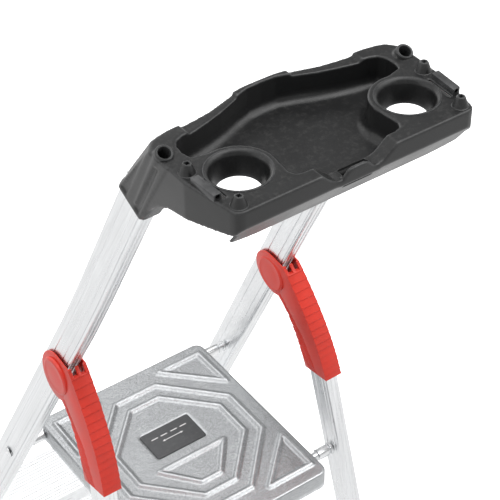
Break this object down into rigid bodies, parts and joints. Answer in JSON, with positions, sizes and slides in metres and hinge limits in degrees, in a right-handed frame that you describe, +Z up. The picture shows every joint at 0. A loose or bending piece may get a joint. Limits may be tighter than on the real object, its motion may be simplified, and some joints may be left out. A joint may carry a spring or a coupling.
{
  "type": "step ladder",
  "caption": "Aluminium household step ladder with grooved treads, a pressed steel platform, curved red hinge caps and a plastic tool tray on top; the legs fold flat.",
  "frame": {"origin": "on the floor, at the middle of the open ladder's outline", "axes": "+Z up, +Y towards the rear legs, so a climber faces +Y, and +X to the climber's right"},
  "size_m": [0.4674, 0.9116, 1.496],
  "materials": {
    "rail_aluminium": "mill-finish extruded aluminium with fine lengthwise die lines",
    "tread_aluminium": "extruded aluminium with lengthwise ribs",
    "brace_aluminium": "pressed aluminium strip",
    "galvanised_plate": "galvanised sheet steel with a fine mottled spangle",
    "rivet_steel": "bright zinc-plated steel",
    "hinge_plastic": "satin red moulded plastic",
    "tray_plastic": "charcoal moulded plastic with a fine grain",
    "label_plastic": null,
    "foot_rubber": "black ribbed rubber"
  },
  "bodies": {
    "front_frame": {"axle_head_left": "rivet_steel", "axle_head_right": "rivet_steel", "axle_sleeve_left": "rivet_steel", "axle_sleeve_right": "rivet_steel", "front_foot_left": "foot_rubber", "front_foot_right": "foot_rubber", "front_rail_left": "rail_aluminium", "front_rail_right": "rail_aluminium", "hinge_pivot_left": "rivet_steel", "hinge_pivot_right": "rivet_steel", "platform_axle": "rivet_steel", "tray": "tray_plastic", "tray_clip_left": "tray_plastic", "tray_clip_right": "tray_plastic", "tray_hook": "tray_plastic", "tread_1": "tread_aluminium", "tread_1_rivet_1_left": "rivet_steel", "tread_1_rivet_1_right": "rivet_steel", "tread_1_rivet_2_left": "rivet_steel", "tread_1_rivet_2_right": "rivet_steel", "tread_2": "tread_aluminium", "tread_2_rivet_1_left": "rivet_steel", "tread_2_rivet_1_right": "rivet_steel", "tread_2_rivet_2_left": "rivet_steel", "tread_2_rivet_2_right": "rivet_steel", "tread_3": "tread_aluminium", "tread_3_rivet_1_left": "rivet_steel", "tread_3_rivet_1_right": "rivet_steel", "tread_3_rivet_2_left": "rivet_steel", "tread_3_rivet_2_right": "rivet_steel", "tread_strut_left": "brace_aluminium", "tread_strut_right": "brace_aluminium"},
    "rear_legs": {"hinge_cap_left": "hinge_plastic", "hinge_cap_right": "hinge_plastic", "rear_brace_1": "brace_aluminium", "rear_brace_1_rivet_left": "rivet_steel", "rear_brace_1_rivet_right": "rivet_steel", "rear_brace_2": "brace_aluminium", "rear_brace_2_rivet_left": "rivet_steel", "rear_brace_2_rivet_right": "rivet_steel", "rear_foot_left": "foot_rubber", "rear_foot_right": "foot_rubber", "rear_leg_left": "rail_aluminium", "rear_leg_right": "rail_aluminium", "rear_rod": "rivet_steel", "rod_head_left": "rivet_steel", "rod_head_right": "rivet_steel"},
    "platform": {"platform_label": "label_plastic", "platform_plate": "galvanised_plate", "platform_saddle_left": "tray_plastic", "platform_saddle_right": "tray_plastic"}
  },
  "joints": [
    {"name": "rear_legs_fold", "type": "hinge", "parent": "front_frame", "child": "rear_legs", "pos_m": [0, 0.15131, 1.083], "axis": [-1, 0, 0], "range_deg": [0, 38]},
    {"name": "platform_tilt", "type": "hinge", "parent": "front_frame", "child": "platform", "pos_m": [0, 0.02631, 0.866], "axis": [1, 0, 0], "range_deg": [0, 62]}
  ],
  "couplings": [
    {"joint": "platform_tilt", "follows": "rear_legs_fold", "ratio": 1.63}
  ]
}
